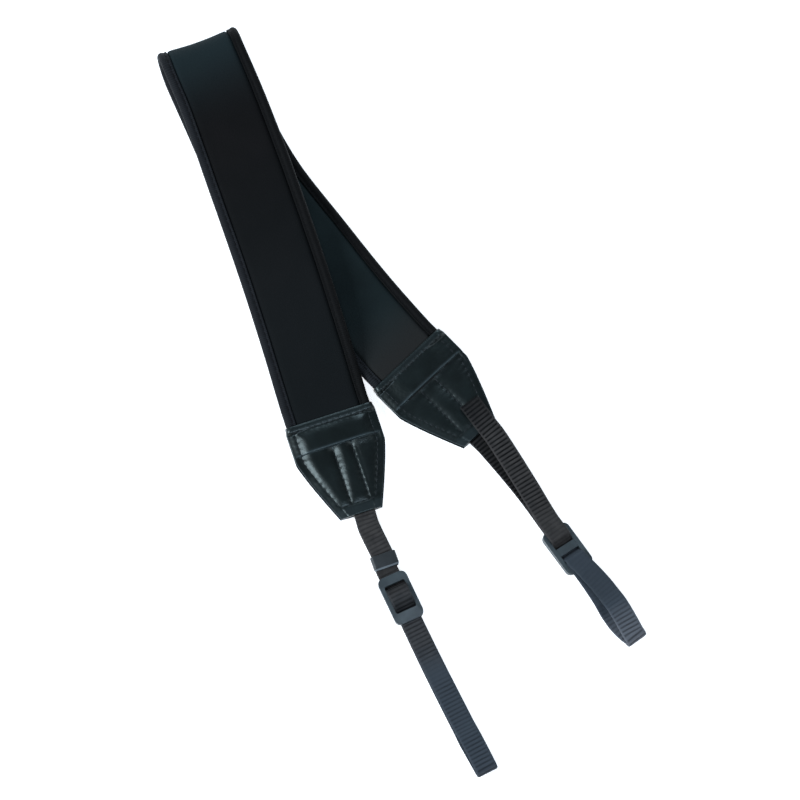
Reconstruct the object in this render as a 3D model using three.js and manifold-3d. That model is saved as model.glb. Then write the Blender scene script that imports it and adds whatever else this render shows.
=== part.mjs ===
// Camera neck strap, folded once and lying flat: a padded neoprene band with bound edges and, at each end,
// a stitched leather end and a webbing strap that runs through a three-bar slider, loops and comes back.
// Millimetres. +Z is up and the floor is Z 0. The fold points to +Y and the two webbing loops to -Y.

import * as THREE from "three";
import { mergeVertices } from "three/addons/utils/BufferGeometryUtils.js";
import Module from "manifold-3d";

const wasm = await Module();
wasm.setup();

// Driving dimensions

const GAP = 0.3; // left between pieces that touch

const PAD = {
  width: 40, // over both bindings
  panel: 29.8, // between the two seam grooves
  crown: 2.7, // half the thickness in the middle
  flange: 0.9, // half the thickness inside a binding
  tongue: 15, // length inside each leather end, where it is narrower and thinner
  tongueWide: 0.89,
  tongueThick: 0.8,
  legStep: 9, // between sections on the legs
  foldStep: 3, // between sections round the fold
  flangePlay: 0.2, // more room at the flange's edge, because the fold bends it
};

const BINDING = { width: 4.6, halfHeight: 2.3, wall: 1.1, tuck: 2.2 }; // tuck is inside the leather

const LEATHER = {
  length: 48,
  mouthReach: 10, // half the width where the webbing leaves
  reach: 21.2, // half the width at the widest
  hemReach: 20.7, // half the width at the hem
  taperFrom: 17.6, // distance from the hem where the sides start to close
  taperCurve: 1.15, // over 1 makes the closing sides slightly convex
  crest: 4.2, // half the thickness of the padded cells
  mouthCrest: 2.6,
  rim: 1.4, // half the thickness of the sewn edge
  marginShare: 0.45, // how far the margin rises from the rim to the cells
  restAt: 4.0, // the side that lies on the floor is flattened here
  seamDip: 0.7,
  hemSeam: 3.2,
  crossSeam: 14.4,
  mouthSeam: 43,
  edgeSeam: 3.8, // in from the edge
  puff: 2.6, // from a cross seam to the height of the cells
  webSeam: 4.4, // either side of the middle
};

const WEB = {
  width: 10,
  thickness: 1.2,
  edge: 0.35, // bevel of the selvedge
  slotPlay: 0.35, // round the sewn end, in the leather
  step: 7, // between sections
  sliderStep: 0.7, // between sections in the slider
  layer: 0.8, // each of the two layers runs this far from the strap's middle
  sewnFrom: 27, // distance from the hem where the sewn end starts
  sewnAcross: 1.4, // the sewn end is this far off the leather's middle
  eye: 3.1, // radius of the loop's end, to the middle of the webbing
  eyeLength: 13, // straight stretch of the loop's eye
  eyeOpens: 9, // stretch in which the layers part
  barPlay: 0.4, // each way past the slider's middle bar before the webbing dives
  outerLift: 0.7, // the outer layer stays up for this much longer each way
  foot: 0.9, // left of the slot when the webbing is down again
  turns: 8, // sections round the end of the loop
  tailPlay: 0.5, // between the tail and the leather below it
  tailRise: 1.25, // over 1 brings the tail up to the leather before its end
  driftCurve: 1.5, // over 1 keeps the tail in line near the slider
  eyeStraight: 9, // the route ends this far past the middle of the eye
  outBow: 2.3, // over 1 puts the outgoing layer's splay near the eye
  tailBow: 1, // and the returning layer's in the middle of the loop
};

const SLIDER = {
  width: 14,
  opening: 10.8,
  topBar: 4.2,
  slot: 5,
  middleBar: 3.8,
  endBar: 5,
  corner: 2.8,
  holeCorner: 0.9,
  back: 0.5, // the rails reach from here
  front: 3.7, // to here above the strap's middle
  barBack: 1.65, // back of the two outer bars
  middleBack: 0.8, // the middle bar reaches from here
  middleFront: 2.3, // to here
  overlap: 0.8, // of the middle bar into each rail
  bevel: 0.5,
};

const KEEPER = { length: 6.8, width: 11.8, height: 5.6, wall: 0.5, corner: 1.2 };

// Route of the strap's middle, from the back loop over the fold to the front loop.
// heading: degrees from -Y towards +X that a leg points. roll: degrees that a leg's +X side is lifted.
// straight: the strap runs straight for this length on both sides of the row.

const BACK_RUN = [
  { place: "back_eye", x: 102.1, y: -103.3, z: 3.75, heading: 37, roll: 0, straight: WEB.eyeStraight },
  { place: "back_slider", x: 75.5, y: -67.6, z: 6.9, heading: 35.5, roll: -10, straight: 15 },
  { place: "back_web", x: 55.1, y: -38.0, z: 5.6, heading: 38, roll: -4 },
  { place: "back_leather", x: 19.0, y: 3.6, z: 4.0, heading: 44, roll: 0, straight: 30 },
  { place: "back_low", x: -21.2, y: 47.9, z: 3.4, heading: 38.5, roll: 0 },
  { place: "back_leg", x: -42.2, y: 74.9, z: 4.1, heading: 37.5, roll: -3 },
  { place: "back_high", x: -62.2, y: 101.3, z: 3.7, heading: 33.5, roll: -3 },
  { place: "back_bend", x: -72.0, y: 118.1, z: 3.4, heading: 27, roll: -2 },
  { place: "back_turn", x: -79.6, y: 134.5, z: 3.1, heading: 22.5, roll: -1 },
];

// thinned and narrowed: shares left at the fold, and the distances from it over which the pad recovers.
const FOLD = {
  x: -89.7,
  y: 157.7,
  radius: 9.5,
  heading: 20.5,
  rows: 7,
  lift: 0.35, // the route dips this much before the fold
  thinned: { share: 0.75, from: 8, to: 22 },
  narrowed: { share: 0.965, from: 25, to: 75 },
};

const FRONT_RUN = [
  { place: "front_turn", x: -82.5, y: 141.0, z: 19.8, heading: 21.5, roll: 3 },
  { place: "front_high", x: -74.9, y: 121.2, z: 17.0, heading: 21, roll: 8 },
  { place: "front_leg", x: -54.4, y: 62.2, z: 13.4, heading: 18.8, roll: 7 },
  { place: "front_low", x: -43.1, y: 26.4, z: 11.4, heading: 18, roll: 7 },
  { place: "front_leather", x: -25.5, y: -28.4, z: 4.0, heading: 18.3, roll: 0, straight: 30 },
  { place: "front_keeper", x: -7.4, y: -73.3, z: 3.2, heading: 23.5, roll: 0 },
  { place: "front_slider", x: -0.3, y: -90.4, z: 2.6, heading: 25, roll: 0, straight: 15 },
  { place: "front_loop", x: 16.5, y: -125.8, z: 1.7, heading: 26, roll: 0 },
  { place: "front_eye", x: 35.3, y: -164.0, z: 3.75, heading: 28, roll: 0, straight: WEB.eyeStraight },
];

// What differs between the two ends. tailEnd: distance from the hem. drift: how far the tail has moved across
// at its end. splay: how far each layer of the loop bows out across the strap.
// The back end lies face down, with its tail over the leather.
const ENDS = {
  front: {
    towardsTip: 1,
    tailEnd: 53,
    drift: 1.3,
    splay: { out: 0.3, tail: -0.3 },
    tailOverLeather: false,
    downFace: -1,
  },
  back: {
    towardsTip: -1,
    tailEnd: 34.5,
    drift: -6.2,
    splay: { out: 1.5, tail: -2.3 },
    tailOverLeather: true,
    downFace: 1,
  },
};

const MATERIALS = {
  neoprene: { color: 0x1b1c1e, roughness: 0.85, metalness: 0 },
  binding: { color: 0x202226, roughness: 0.8, metalness: 0 },
  leather: { color: 0x1f2428, roughness: 0.45, metalness: 0 },
  webbing: { color: 0x26282c, roughness: 0.75, metalness: 0 },
  plastic: { color: 0x333b42, roughness: 0.4, metalness: 0 },
};

// Route

// Rows round the fold, a half circle in the upright plane of the fold's heading, from its foot to its top.
function foldRows() {
  const turn = THREE.MathUtils.degToRad(FOLD.heading);
  const floorToMiddle = PAD.crown + FOLD.lift;
  return Array.from({ length: FOLD.rows }, (_, i) => {
    const angle = Math.PI * (i / (FOLD.rows - 1) - 0.5);
    const out = FOLD.radius * Math.cos(angle);
    return {
      place: "fold_" + i,
      x: FOLD.x - out * Math.sin(turn),
      y: FOLD.y + out * Math.cos(turn),
      z: floorToMiddle + FOLD.radius * (1 + Math.sin(angle)),
      heading: FOLD.heading,
      roll: 0,
    };
  });
}

// Rows along a row's straight stretch, in the order in which the route passes them.
function straightened(row, towardsTip) {
  const turn = THREE.MathUtils.degToRad(row.heading);
  const shares = row.straight ? [-1, -0.8, 0, 0.8, 1] : [0];
  return shares.map((share) => {
    const offset = share * towardsTip * (row.straight ?? 0);
    const place = share === 0 ? row.place : null;
    return { ...row, place, x: row.x + offset * Math.sin(turn), y: row.y - offset * Math.cos(turn) };
  });
}

const DIVISIONS = 60; // length samples in each row of the route
const rows = [
  ...BACK_RUN.flatMap((row) => straightened(row, ENDS.back.towardsTip)),
  ...foldRows(),
  ...FRONT_RUN.flatMap((row) => straightened(row, ENDS.front.towardsTip)),
];
const places = rows.map((row) => new THREE.Vector3(row.x, row.y, row.z));
const leans = rows.map((row) => new THREE.Vector3(row.heading, row.roll, 0));
const middle = new THREE.CatmullRomCurve3(places, false, "centripetal");
const lean = new THREE.CatmullRomCurve3(leans, false, "catmullrom");
middle.arcLengthDivisions = (rows.length - 1) * DIVISIONS;
const lengths = middle.getLengths();

// Distance along the route to a named row.
function distanceTo(place) {
  return lengths[rows.findIndex((r) => r.place === place) * DIVISIONS];
}

// Where the strap is at a distance along the route: its middle, its right side, its face and its direction.
function frameAt(distance) {
  const t = middle.getUtoTmapping(0, distance);
  const along = middle.getTangent(t);
  const { x: heading, y: roll } = lean.getPoint(t);
  const turn = THREE.MathUtils.degToRad(heading);
  const tilt = THREE.MathUtils.degToRad(roll);
  const side = new THREE.Vector3(Math.cos(turn), Math.sin(turn), Math.tan(tilt));
  side.addScaledVector(along, -side.dot(along)).normalize();
  return { point: middle.getPoint(t), side, face: along.clone().cross(side), along };
}

// Distance along the route to the hem of an end's leather.
function hemOf(end) {
  return distanceTo(end + "_leather") - (ENDS[end].towardsTip * LEATHER.length) / 2;
}

// The strap's frame at a distance from an end's hem towards its tip.
function endFrame(end, fromHem) {
  const { towardsTip } = ENDS[end];
  const frame = frameAt(hemOf(end) + towardsTip * fromHem);
  frame.side.multiplyScalar(towardsTip);
  frame.along.multiplyScalar(towardsTip);
  return frame;
}

// Distance from an end's hem to a named row of that end.
function fromHem(end, place) {
  return Math.abs(distanceTo(end + "_" + place) - hemOf(end));
}

// Solids

function bare(geometry) {
  geometry.deleteAttribute("normal");
  geometry.deleteAttribute("uv");
  return mergeVertices(geometry, 1e-4);
}

function toSolid(geometry) {
  const merged = bare(geometry.clone());
  const vertProperties = new Float32Array(merged.attributes.position.array);
  const triVerts = new Uint32Array(merged.index.array);
  return new wasm.Manifold(new wasm.Mesh({ numProp: 3, vertProperties, triVerts }));
}

function toGeometry(solid) {
  const { vertProperties, triVerts } = solid.getMesh();
  return new THREE.BufferGeometry()
    .setAttribute("position", new THREE.BufferAttribute(vertProperties, 3))
    .setIndex(new THREE.BufferAttribute(triVerts, 1));
}

// A box between two corners, each { x, y, z }.
function box(low, high) {
  const size = { x: high.x - low.x, y: high.y - low.y, z: high.z - low.z };
  const made = new THREE.BoxGeometry(size.x, size.y, size.z);
  return made.translate((low.x + high.x) / 2, (low.y + high.y) / 2, (low.z + high.z) / 2);
}

function roundedRectangle(path, halfX, halfY, corner, centreY = 0) {
  const x = halfX - corner;
  const y = halfY - corner;
  const quarter = Math.PI / 2;
  path.moveTo(x, centreY - halfY);
  path.absarc(x, centreY - y, corner, -quarter, 0);
  path.absarc(x, centreY + y, corner, 0, quarter);
  path.absarc(-x, centreY + y, corner, quarter, 2 * quarter);
  path.absarc(-x, centreY - y, corner, 2 * quarter, 3 * quarter);
  return path;
}

function outlineOf(points) {
  return new THREE.Shape(points.map(({ across, up }) => new THREE.Vector2(across, up)));
}

// Sweeps an outline (x to the strap's right, y to its face) through stations { point, side, wide, thick }.
function sweep(outline, stations, curveSegments = 5) {
  const last = stations.length - 1;
  const straight = { depth: last, steps: last, bevelEnabled: false, curveSegments };
  const bar = new THREE.ExtrudeGeometry(outline, straight);
  const frames = stations.map(({ point, side }, i) => {
    const [before, after] = [stations[Math.max(i - 1, 0)], stations[Math.min(i + 1, last)]];
    const along = after.point.clone().sub(before.point).normalize();
    const across = side.clone().addScaledVector(along, -side.dot(along)).normalize();
    return { point, across, up: along.clone().cross(across) };
  });
  const place = bar.attributes.position;
  for (let i = 0; i < place.count; i++) {
    const station = Math.round(place.getZ(i));
    const { wide = 1, thick = 1 } = stations[station];
    const { point, across, up } = frames[station];
    const moved = point.clone();
    moved.addScaledVector(across, place.getX(i) * wide).addScaledVector(up, place.getY(i) * thick);
    place.setXYZ(i, moved.x, moved.y, moved.z);
  }
  return bare(bar);
}

// Evenly spaced numbers from low up to, and without, high.
function spaced(low, high, step) {
  const count = Math.ceil((high - low) / step);
  return Array.from({ length: count }, (_, i) => low + ((high - low) * i) / count);
}

function smoothstep(share) {
  return THREE.MathUtils.smoothstep(share, 0, 1);
}

// Neck pad and its bindings

// Distances along the route from the back hem to the front one, closer together round the fold.
function padDistances() {
  const foldFrom = distanceTo("back_turn");
  const foldTo = distanceTo("front_turn");
  return [
    ...spaced(hemOf("back"), foldFrom, PAD.legStep),
    ...spaced(foldFrom, foldTo, PAD.foldStep),
    ...spaced(foldTo, hemOf("front"), PAD.legStep),
    hemOf("front"),
  ];
}

// Half of the pad's section, from the middle of the face to the flange that the binding covers.
function padOutline() {
  const groove = PAD.panel / 2;
  const flangeTip = PAD.width / 2 - BINDING.wall - GAP - PAD.flangePlay;
  const half = [
    { across: groove * 0.5, up: PAD.crown },
    { across: groove * 0.9, up: PAD.crown * 0.9 },
    { across: groove, up: PAD.flange + 0.5 },
    { across: groove + 0.5, up: PAD.flange },
    { across: flangeTip, up: PAD.flange },
  ];
  const right = [...half, ...half.toReversed().map(({ across, up }) => ({ across, up: -up }))];
  const left = right.map(({ across, up }) => ({ across: -across, up: -up }));
  return outlineOf([...right, ...left]);
}

// Shares of the pad's width and thickness that are left at and near the fold, where it is drawn in.
function padShare(distance) {
  const top = (distanceTo("fold_0") + distanceTo("fold_" + (FOLD.rows - 1))) / 2;
  const recovered = ({ share, from, to }) =>
    THREE.MathUtils.lerp(share, 1, THREE.MathUtils.smoothstep(Math.abs(distance - top), from, to));
  return { wide: recovered(FOLD.narrowed), thick: recovered(FOLD.thinned) };
}

function neckPad() {
  const from = hemOf("back");
  const to = hemOf("front");
  const narrowed = { wide: PAD.tongueWide, thick: PAD.tongueThick };
  const tongue = (distance) => ({ ...frameAt(distance), ...narrowed });
  return sweep(padOutline(), [
    tongue(from - PAD.tongue),
    tongue(from - BINDING.tuck),
    frameAt(from - BINDING.tuck / 2),
    ...padDistances().map((distance) => ({ ...frameAt(distance), ...padShare(distance) })),
    frameAt(to + BINDING.tuck / 2),
    tongue(to + BINDING.tuck),
    tongue(to + PAD.tongue),
  ]);
}

// A tape folded over the pad's edge, as a channel that is open towards the pad.
function edgeBinding(onRight) {
  const edge = PAD.width / 2;
  const lip = edge - BINDING.width;
  const tall = BINDING.halfHeight;
  const inside = PAD.flange + GAP;
  const outline = new THREE.Shape();
  outline.moveTo(lip, tall).lineTo(lip, inside);
  outline.lineTo(edge - BINDING.wall, inside).lineTo(edge - BINDING.wall, -inside);
  outline.lineTo(lip, -inside).lineTo(lip, -tall);
  outline.absarc(edge - tall, 0, tall, -Math.PI / 2, Math.PI / 2);
  const mirrored = outlineOf(outline.getPoints(3).map(({ x, y }) => ({ across: -x, up: y })));
  const distances = [hemOf("back") - BINDING.tuck, ...padDistances(), hemOf("front") + BINDING.tuck];
  const stations = distances.map((distance) => ({ ...frameAt(distance), wide: padShare(distance).wide }));
  return sweep(onRight ? outline : mirrored, stations, 3);
}

// Leather ends

// Half the width of the leather at a distance from its hem.
function leatherReach(fromHem) {
  const { hemReach, reach, mouthReach, taperFrom, taperCurve, hemSeam, length } = LEATHER;
  const flared = THREE.MathUtils.lerp(hemReach, reach, smoothstep(fromHem / hemSeam));
  const closing = Math.max(0, (fromHem - taperFrom) / (length - taperFrom));
  return flared - (reach - mouthReach) * closing ** taperCurve;
}

// Half the thickness at the top of the cells at a distance from the hem.
function leatherCrest(fromHem) {
  const { crossSeam, length, crest, mouthCrest } = LEATHER;
  return THREE.MathUtils.lerp(crest, mouthCrest, smoothstep((fromHem - crossSeam) / (length - crossSeam)));
}

// Columns from the middle to the edge: how far across they lie, and whether a lengthwise seam runs there.
const LEATHER_COLUMNS = [
  { name: "middle", across: () => 0 },
  { name: "web_cell", across: () => LEATHER.webSeam * 0.55 },
  { name: "web_seam", across: () => LEATHER.webSeam, sewnBelowCrossSeam: true },
  { name: "side_cell", across: (reach) => (LEATHER.webSeam + reach - LEATHER.edgeSeam) / 2 },
  { name: "edge_seam", across: (reach) => reach - LEATHER.edgeSeam, sewn: true },
  { name: "margin", across: (reach) => reach - LEATHER.edgeSeam * 0.45, margin: true },
  { name: "edge", across: (reach) => reach, edge: true },
];

const LEATHER_ROWS = [
  { fromHem: 0, sewn: false, share: 0.93 },
  { fromHem: LEATHER.hemSeam * 0.5, sewn: false, share: 1 },
  { fromHem: LEATHER.hemSeam, sewn: true, share: 1 },
  { fromHem: LEATHER.hemSeam + LEATHER.puff, sewn: false, share: 1 },
  { fromHem: LEATHER.crossSeam - LEATHER.puff, sewn: false, share: 1 },
  { fromHem: LEATHER.crossSeam, sewn: true, share: 1 },
  { fromHem: LEATHER.crossSeam + LEATHER.puff, sewn: false, share: 1 },
  { fromHem: 23, sewn: false, share: 1 },
  { fromHem: 30, sewn: false, share: 1 },
  { fromHem: 37, sewn: false, share: 1 },
  { fromHem: LEATHER.mouthSeam - 1.5, sewn: false, share: 1 },
  { fromHem: LEATHER.mouthSeam, sewn: true, share: 1 },
  { fromHem: LEATHER.mouthSeam + 2, sewn: false, share: 0.95 },
  { fromHem: LEATHER.length, sewn: false, share: 0.85 },
];

function leatherHeight(row, column) {
  const crest = leatherCrest(row.fromHem) * row.share;
  const lengthwise = column.sewn || (column.sewnBelowCrossSeam && row.fromHem > LEATHER.crossSeam);
  if (column.edge) return LEATHER.rim;
  if (column.margin) return THREE.MathUtils.lerp(LEATHER.rim, crest, LEATHER.marginShare);
  return crest - (row.sewn || lengthwise ? LEATHER.seamDip : 0);
}

// A padded sleeve of two sewn faces: the pad's tongue goes in at the hem and the webbing at the mouth.
function leatherEnd(end) {
  const outermost = LEATHER_COLUMNS.length - 1;
  const columns = Array.from({ length: 2 * outermost + 1 }, (_, i) => outermost - i);
  const bulge = (column) => 2 - (column / outermost) ** 2; // keeps the blank's outline convex
  const blank = new THREE.Shape([
    ...columns.map((c) => new THREE.Vector2(c, bulge(c))),
    ...columns.toReversed().map((c) => new THREE.Vector2(c, -bulge(c))),
  ]);
  const last = LEATHER_ROWS.length - 1;
  const sleeve = new THREE.ExtrudeGeometry(blank, { depth: last, steps: last, bevelEnabled: false });
  const place = sleeve.attributes.position;
  for (let i = 0; i < place.count; i++) {
    const row = LEATHER_ROWS[Math.round(place.getZ(i))];
    const signedColumn = Math.round(place.getX(i));
    const column = LEATHER_COLUMNS[Math.abs(signedColumn)];
    const face = Math.sign(place.getY(i));
    const height = leatherHeight(row, column);
    const resting = face === ENDS[end].downFace ? Math.min(height, LEATHER.restAt) : height;
    const across = Math.sign(signedColumn) * column.across(leatherReach(row.fromHem));
    place.setXYZ(i, across, face * resting, row.fromHem);
  }
  return toGeometry(toSolid(sleeve).subtract(padPocket()).subtract(webbingSlot()));
}

function padPocket() {
  const collar = { x: PAD.width / 2 + GAP, y: PAD.crown + GAP, z: BINDING.tuck + GAP };
  const tongue = {
    x: (PAD.width / 2) * PAD.tongueWide - BINDING.wall,
    y: PAD.crown * PAD.tongueThick + GAP,
    z: PAD.tongue + GAP,
  };
  const before = -1; // the pocket's tools start outside the hem
  return [collar, tongue]
    .map((reach) => toSolid(box({ x: -reach.x, y: -reach.y, z: before }, reach)))
    .reduce((joined, pocket) => joined.add(pocket));
}

function webbingSlot() {
  const reach = {
    x: WEB.width / 2 + WEB.slotPlay,
    y: WEB.thickness / 2 + WEB.slotPlay,
    z: LEATHER.length + 1,
  };
  const slot = box({ x: -reach.x, y: -reach.y, z: WEB.sewnFrom - 1 }, reach);
  return toSolid(slot.translate(WEB.sewnAcross, 0, 0));
}

// Webbing

// How far the webbing is lifted over the slider's middle bar, and for how much longer on the outer layer.
function liftOverBar(fromSlider, wider) {
  const flat = SLIDER.middleBar / 2 + WEB.barPlay + wider;
  const ramp = SLIDER.slot - WEB.barPlay - WEB.foot;
  const rise = SLIDER.middleFront + GAP + WEB.layer + WEB.thickness / 2;
  return rise * smoothstep(1 - (Math.abs(fromSlider) - flat) / ramp);
}

// Distances from the hem at which the webbing has a section, close together at the slider.
function webbingSteps(from, slider, to) {
  const near = SLIDER.slot + SLIDER.middleBar / 2 + 1;
  return [
    ...spaced(from, slider - near, WEB.step),
    ...spaced(slider - near, slider + near, WEB.sliderStep),
    ...spaced(slider + near, to, WEB.step),
    to,
  ];
}

// The webbing's middle as { fromHem, across, up }: from the leather through the slider, round the eye and back.
function webbingLine(end) {
  const { tailEnd, drift, splay, tailOverLeather } = ENDS[end];
  const slider = fromHem(end, "slider");
  const tip = fromHem(end, "eye") + WEB.eyeStraight;
  const eyeCentre = tip - WEB.eye - WEB.thickness / 2;
  const opensFrom = eyeCentre - WEB.eyeLength - WEB.eyeOpens;
  const layer = (at) => THREE.MathUtils.lerp(WEB.layer, WEB.eye, smoothstep((at - opensFrom) / WEB.eyeOpens));
  const nearSlider = slider - SLIDER.slot - SLIDER.middleBar - SLIDER.topBar;
  const parted = (at) => smoothstep((at - LEATHER.length) / (nearSlider - LEATHER.length));
  const afterBar = slider + SLIDER.slot + SLIDER.middleBar / 2;
  const afterSlider = afterBar + SLIDER.endBar;
  const bow = (from, at, late) => {
    return Math.sin(Math.PI * THREE.MathUtils.clamp((at - from) / (eyeCentre - from), 0, 1) ** late);
  };

  const out = webbingSteps(WEB.sewnFrom, slider, eyeCentre).map((at) => {
    const across = WEB.sewnAcross * (1 - parted(at)) + splay.out * bow(afterSlider, at, WEB.outBow);
    return { fromHem: at, across, up: layer(at) * parted(at) + liftOverBar(at - slider, WEB.outerLift) };
  });

  const round = Array.from({ length: WEB.turns - 1 }, (_, i) => {
    const angle = Math.PI * (0.5 - (i + 1) / WEB.turns);
    return { fromHem: eyeCentre + WEB.eye * Math.cos(angle), across: 0, up: WEB.eye * Math.sin(angle) };
  });

  const overLeather = leatherCrest(tailEnd) + WEB.thickness / 2 + WEB.tailPlay;
  const tail = webbingSteps(tailEnd, slider, eyeCentre).toReversed().map((at) => {
    const left = Math.max(0, (nearSlider - at) / (nearSlider - tailEnd)); // share of the loose tail passed
    const apart = tailOverLeather
      ? THREE.MathUtils.lerp(layer(at), overLeather, smoothstep(left * WEB.tailRise))
      : layer(at) + WEB.layer * (1 - parted(at));
    const across = drift * left ** WEB.driftCurve + splay.tail * bow(afterBar, at, WEB.tailBow);
    return { fromHem: at, across, up: -apart + liftOverBar(at - slider, 0) };
  });
  return [...out, ...round, ...tail];
}

function webbing(end) {
  const outline = new THREE.Shape();
  const edge = WEB.edge;
  const half = { across: WEB.width / 2, up: WEB.thickness / 2 };
  outline.moveTo(half.across, edge - half.up).lineTo(half.across, half.up - edge);
  outline.lineTo(half.across - edge, half.up).lineTo(edge - half.across, half.up);
  outline.lineTo(-half.across, half.up - edge).lineTo(-half.across, edge - half.up);
  outline.lineTo(edge - half.across, -half.up).lineTo(half.across - edge, -half.up);
  const stations = webbingLine(end).map(({ fromHem: at, across, up }) => {
    const { point, side, face } = endFrame(end, at);
    return { point: point.addScaledVector(side, across).addScaledVector(face, up), side };
  });
  return sweep(outline, stations);
}

// Slider and keeper

// A frame with two slots. The webbing passes behind the outer bars and over the lower middle one.
function slider() {
  const { topBar, slot, middleBar, endBar, opening, bevel } = SLIDER;
  const length = topBar + 2 * slot + middleBar + endBar;
  const centre = (topBar - endBar) / 2; // the middle bar is on the origin, and y points to the hem
  const outline = new THREE.Shape();
  const hole = new THREE.Path();
  roundedRectangle(outline, SLIDER.width / 2 - bevel, length / 2 - bevel, SLIDER.corner, centre);
  roundedRectangle(hole, opening / 2 + bevel, slot + middleBar / 2 + bevel, SLIDER.holeCorner);
  outline.holes.push(hole);
  const frame = new THREE.ExtrudeGeometry(outline, {
    depth: SLIDER.front - SLIDER.back - 2 * bevel,
    bevelThickness: bevel,
    bevelSize: bevel,
    bevelSegments: 1,
    curveSegments: 4,
  });
  frame.translate(0, 0, SLIDER.back + bevel).rotateX(-Math.PI / 2);
  const passage = box(
    { x: -opening / 2, y: SLIDER.back - 1, z: -length },
    { x: opening / 2, y: SLIDER.barBack, z: length },
  );
  const bar = box(
    { x: -opening / 2 - SLIDER.overlap, y: SLIDER.middleBack, z: -middleBar / 2 },
    { x: opening / 2 + SLIDER.overlap, y: SLIDER.middleFront, z: middleBar / 2 },
  );
  return toGeometry(toSolid(frame).subtract(toSolid(passage)).add(toSolid(bar)));
}

// A flat loop that holds both layers of the webbing together.
function keeper() {
  const { width, height, wall, corner, length } = KEEPER;
  const outline = roundedRectangle(new THREE.Shape(), width / 2, height / 2, corner);
  outline.holes.push(roundedRectangle(new THREE.Path(), width / 2 - wall, height / 2 - wall, corner / 2));
  const ring = new THREE.ExtrudeGeometry(outline, { depth: length, bevelEnabled: false, curveSegments: 3 });
  return bare(ring.translate(0, 0, -length / 2));
}

// Assembly

function piece(name, material, geometry) {
  const mesh = new THREE.Mesh(geometry, new THREE.MeshStandardMaterial(MATERIALS[material]));
  mesh.name = name;
  return mesh;
}

// A rigid piece, modelled with x across, y to the face and z towards the tip, set on an end of the strap.
// It takes the strap's direction at one distance from the hem, and its origin goes to another.
function setOn(mesh, end, fromHem, origin = fromHem) {
  const { point, side, face, along } = endFrame(end, fromHem);
  mesh.quaternion.setFromRotationMatrix(new THREE.Matrix4().makeBasis(side, face, along));
  mesh.position.copy(point).addScaledVector(along, origin - fromHem);
  return mesh;
}

const strap = new THREE.Group();
strap.name = "camera_neck_strap";
strap.add(piece("neck_pad", "neoprene", neckPad()));
strap.add(piece("binding_right", "binding", edgeBinding(true)));
strap.add(piece("binding_left", "binding", edgeBinding(false)));
for (const end of ["front", "back"]) {
  const leather = piece("leather_end_" + end, "leather", leatherEnd(end));
  strap.add(setOn(leather, end, LEATHER.length / 2, 0));
  strap.add(piece("webbing_" + end, "webbing", webbing(end)));
  strap.add(setOn(piece("slider_" + end, "plastic", slider()), end, fromHem(end, "slider")));
}
strap.add(setOn(piece("keeper_front", "plastic", keeper()), "front", fromHem("front", "keeper")));

export default strap;
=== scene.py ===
# %% [markdown]
# # A camera neck strap, folded once and laid on a pale floor
#
# The strap is a padded band with taped edges. At each end a stitched leather end holds narrow ribbed
# webbing, which runs through a moulded slider, makes a loop for the camera's lug and comes back.
# The imported solids give the frame: each piece below is made in their place, in metres, and the solids that
# it stands for are hidden.

# %% Load the frame
import math
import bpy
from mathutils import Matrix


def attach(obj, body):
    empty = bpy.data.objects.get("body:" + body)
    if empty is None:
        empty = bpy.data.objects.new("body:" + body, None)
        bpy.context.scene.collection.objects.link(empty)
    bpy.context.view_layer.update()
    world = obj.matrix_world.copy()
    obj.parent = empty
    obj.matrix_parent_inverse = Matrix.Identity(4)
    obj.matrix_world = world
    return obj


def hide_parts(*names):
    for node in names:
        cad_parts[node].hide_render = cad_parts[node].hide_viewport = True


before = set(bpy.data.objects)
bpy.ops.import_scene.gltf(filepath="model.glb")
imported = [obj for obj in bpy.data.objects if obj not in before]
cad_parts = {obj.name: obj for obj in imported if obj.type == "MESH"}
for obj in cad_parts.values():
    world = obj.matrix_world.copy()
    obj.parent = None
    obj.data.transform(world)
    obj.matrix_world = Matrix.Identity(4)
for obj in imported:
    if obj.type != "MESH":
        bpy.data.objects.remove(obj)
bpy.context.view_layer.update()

from types import SimpleNamespace as Measures

import bmesh
import bpy
import numpy as np
from mathutils import Matrix, Vector, noise

MM = 0.001
scene = bpy.context.scene
print("CAD nodes:", sorted(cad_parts))

# %% [markdown]
# ## Camera
#
# The picture was taken from almost straight above. A long lens from far away keeps the band equally wide
# at the fold and at the leather, as the picture does. The field is worked out from the webbing, which is
# 10 mm wide and 22 pixels across, so 800 pixels take in 364 mm of floor.

# %% Camera
FIELD = 364 * MM
EYE_DISTANCE = 10.0
ELEVATION = math.radians(76)
AIM = Vector((-0.5, 3.0, 0.0)) * MM

lens = bpy.data.cameras.new("camera")
lens.lens = lens.sensor_width * EYE_DISTANCE / FIELD
camera = bpy.data.objects.new("camera", lens)
camera.location = AIM + EYE_DISTANCE * Vector((0, -math.cos(ELEVATION), math.sin(ELEVATION)))
camera.rotation_euler = (math.pi / 2 - ELEVATION, 0, 0)
scene.collection.objects.link(camera)
scene.camera = camera
print("lens", round(lens.lens, 1), "mm")

# %% [markdown]
# ## Colours and nodes
#
# Colours are written as sRGB hex values, as a paint program shows them, and one function turns them into
# the linear values that a shader reckons with. Another adds a node and returns the output that is asked for.
# It takes the node's settings, the stops of a colour ramp and, for each input, a plain value or the output
# that feeds it. A finish is built up from its patterns, and its shader is fed last.

# %% Colour and node helpers
def linear(hex_colour):
    channels = [int(hex_colour[i : i + 2], 16) / 255 for i in (1, 3, 5)]
    return [c / 12.92 if c <= 0.04045 else ((c + 0.055) / 1.055) ** 2.4 for c in channels] + [1.0]


def feed(node, inputs):
    for name, value in inputs.items():
        if isinstance(value, bpy.types.NodeSocket):
            node.id_data.links.new(value, node.inputs[name])
        else:
            node.inputs[name].default_value = value


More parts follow.
